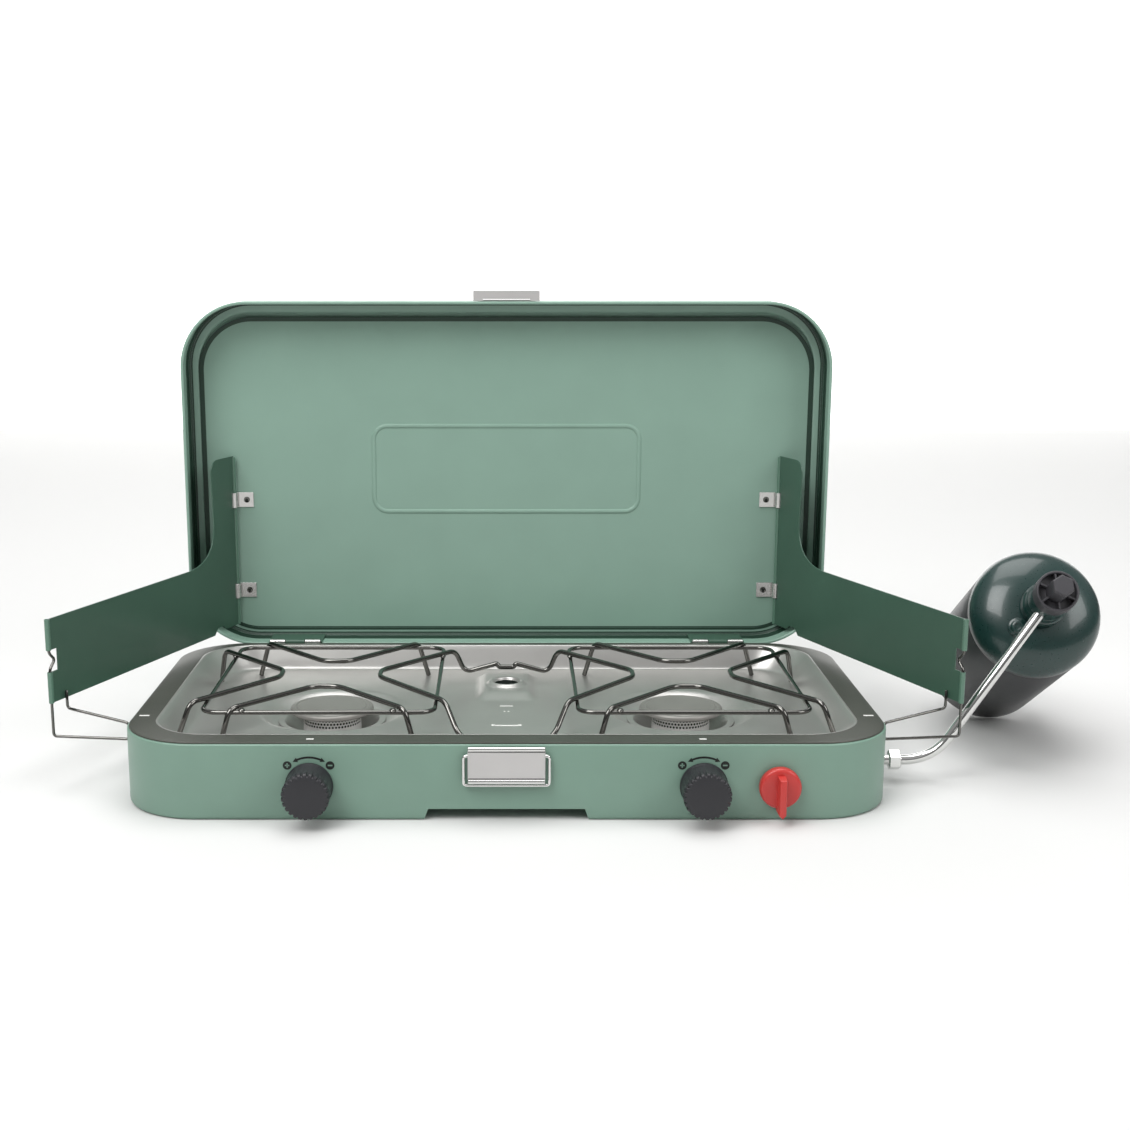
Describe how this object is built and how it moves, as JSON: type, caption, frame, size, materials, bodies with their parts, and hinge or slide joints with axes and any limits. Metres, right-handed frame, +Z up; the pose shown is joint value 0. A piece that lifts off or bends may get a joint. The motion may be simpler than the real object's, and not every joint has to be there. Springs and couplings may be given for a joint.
{
  "type": "two-burner camping stove",
  "caption": "Suitcase camping stove with an open lid, folding wind panels, twin round burners under a wire grate and a slanted fuel bottle on a side tube.",
  "frame": {"origin": "centre of the case's underside, on the floor", "axes": "+X to the user's right, +Y to the back, +Z up"},
  "size_m": [0.8083, 0.367, 0.3615],
  "materials": {
    "sage_paint": "satin",
    "dark_green_paint": "satin",
    "stainless": "brushed",
    "chrome_wire": "polished",
    "zinc": "satin",
    "brass": "satin",
    "knob_plastic": "matte",
    "red_plastic": "satin",
    "bottle_paint": "gloss",
    "ceramic": "glazed",
    "black_plastic": "matte"
  },
  "bodies": {
    "case": {"case_shell": "sage_paint", "drip_tray": "stainless", "burner_bowl_left": "stainless", "burner_bowl_right": "stainless", "burner_screen_left": "stainless", "burner_screen_right": "stainless", "burner_cap_left": "stainless", "burner_cap_right": "stainless", "mixing_tube_left": "zinc", "mixing_tube_right": "zinc", "burner_valve_left": "brass", "burner_valve_right": "brass", "gas_manifold": "brass", "fuel_inlet": "chrome_wire", "igniter_module": "black_plastic", "spark_plug_left": "ceramic", "spark_plug_right": "ceramic", "ignition_lead_left": "black_plastic", "ignition_lead_right": "black_plastic", "case_hinge_leaf_left": "zinc", "case_hinge_leaf_right": "zinc", "latch_bracket": "zinc", "latch_pin": "chrome_wire"},
    "lid": {"lid_shell": "sage_paint", "lid_keeper": "zinc", "lid_hinge_leaf_left": "dark_green_paint", "lid_hinge_leaf_right": "dark_green_paint", "hinge_pin_left": "chrome_wire", "hinge_pin_right": "chrome_wire", "panel_clip_upper_left": "zinc", "panel_clip_upper_right": "zinc", "panel_clip_lower_left": "zinc", "panel_clip_lower_right": "zinc", "clip_rivet_upper_left": "chrome_wire", "clip_rivet_upper_right": "chrome_wire", "clip_rivet_lower_left": "chrome_wire", "clip_rivet_lower_right": "chrome_wire"},
    "wind_panel_left": {"wind_panel_left": "dark_green_paint"},
    "wind_panel_right": {"wind_panel_right": "dark_green_paint"},
    "wind_stay_left": {"wind_stay_left": "chrome_wire"},
    "wind_stay_right": {"wind_stay_right": "chrome_wire"},
    "burner_knob_left": {"burner_knob_left": "knob_plastic", "knob_stem_left": "brass"},
    "burner_knob_right": {"burner_knob_right": "knob_plastic", "knob_stem_right": "brass"},
    "igniter_knob": {"igniter_knob": "red_plastic", "igniter_stem": "brass"},
    "latch_lever": {"latch_lever": "zinc"},
    "latch_bail": {"latch_bail": "chrome_wire"},
    "grate": {"cooking_grate": "chrome_wire"},
    "fuel_line": {"fuel_tube": "chrome_wire", "regulator_body": "bottle_paint", "regulator_cap": "black_plastic"},
    "fuel_bottle": {"fuel_bottle": "bottle_paint", "bottle_valve": "brass", "relief_valve": "zinc"}
  },
  "joints": [
    {"name": "lid_hinge", "type": "hinge", "parent": "case", "child": "lid", "pos_m": [0, 0.1514, 0.057], "axis": [1, 0, 0], "range_deg": [-15, 4]},
    {"name": "wind_panel_left_hinge", "type": "hinge", "parent": "lid", "child": "wind_panel_left", "pos_m": [-0.2407, 0.1805, 0.14], "axis": [0, 0, -1], "range_deg": [0, 5]},
    {"name": "wind_stay_left_swing", "type": "hinge", "parent": "wind_panel_left", "child": "wind_stay_left", "pos_m": [-0.33921, -0.07347, 0.096], "axis": [0, 0, -1], "range_deg": [0, 90]},
    {"name": "burner_knob_left_turn", "type": "hinge", "parent": "case", "child": "burner_knob_left", "pos_m": [-0.139, -0.149, 0.0262], "axis": [0, -1, 0], "range_deg": [0, 270]},
    {"name": "wind_panel_right_hinge", "type": "hinge", "parent": "lid", "child": "wind_panel_right", "pos_m": [0.2407, 0.1805, 0.14], "axis": [0, 0, 1], "range_deg": [0, 2]},
    {"name": "wind_stay_right_swing", "type": "hinge", "parent": "wind_panel_right", "child": "wind_stay_right", "pos_m": [0.33921, -0.07347, 0.096], "axis": [0, 0, 1], "range_deg": [0, 90]},
    {"name": "burner_knob_right_turn", "type": "hinge", "parent": "case", "child": "burner_knob_right", "pos_m": [0.139, -0.149, 0.0262], "axis": [0, -1, 0], "range_deg": [0, 270]},
    {"name": "igniter_turn", "type": "hinge", "parent": "case", "child": "igniter_knob", "pos_m": [0.1925, -0.149, 0.0257], "axis": [0, 1, 0], "range_deg": [0, 90], "stiffness_Nm_per_rad": 0.1},
    {"name": "latch_lever_hinge", "type": "hinge", "parent": "case", "child": "latch_lever", "pos_m": [0, -0.1524, 0.0524], "axis": [-1, 0, 0], "range_deg": [0, 80]},
    {"name": "latch_bail_hinge", "type": "hinge", "parent": "latch_lever", "child": "latch_bail", "pos_m": [0, -0.1524, 0.0486], "axis": [-1, 0, 0], "range_deg": [0, 140]},
    {"name": "grate_lift", "type": "slide", "parent": "case", "child": "grate", "axis": [0, 0, 1], "range_m": [0, 0.15]},
    {"name": "fuel_line_pull", "type": "slide", "parent": "case", "child": "fuel_line", "axis": [1, 0, 0], "range_m": [0, 0.06]},
    {"name": "bottle_unscrew", "type": "hinge", "parent": "fuel_line", "child": "fuel_bottle", "pos_m": [0.4064, -0.0212, 0.1207], "axis": [-0.067, -0.8904, 0.4502], "continuous": true}
  ]
}
